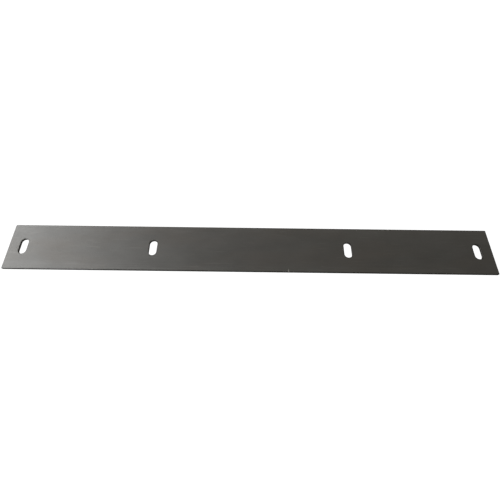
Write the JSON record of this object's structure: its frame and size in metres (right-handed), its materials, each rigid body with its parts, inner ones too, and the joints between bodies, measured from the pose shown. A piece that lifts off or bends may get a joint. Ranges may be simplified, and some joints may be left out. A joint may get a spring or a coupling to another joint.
{
  "type": "plow wear bar",
  "caption": "Flat hot-rolled steel wear bar, the replaceable cutting edge of a small vehicle's snow plow blade, with bolt slots across its width.",
  "frame": {"origin": "centre of the back face, the face that bolts against the plow blade; the bar lies flat on it", "axes": "+X along the bar's length, +Y across its width towards the upper edge, +Z through its thickness, out of the front face"},
  "size_m": [1.27, 0.127, 0.0063],
  "materials": {
    "mill_scale_steel": "hot-rolled carbon steel with its dark mill scale left on, semi-matt, unpainted"
  },
  "bodies": {
    "root": {"wear_bar": "mill_scale_steel"}
  },
  "joints": []
}
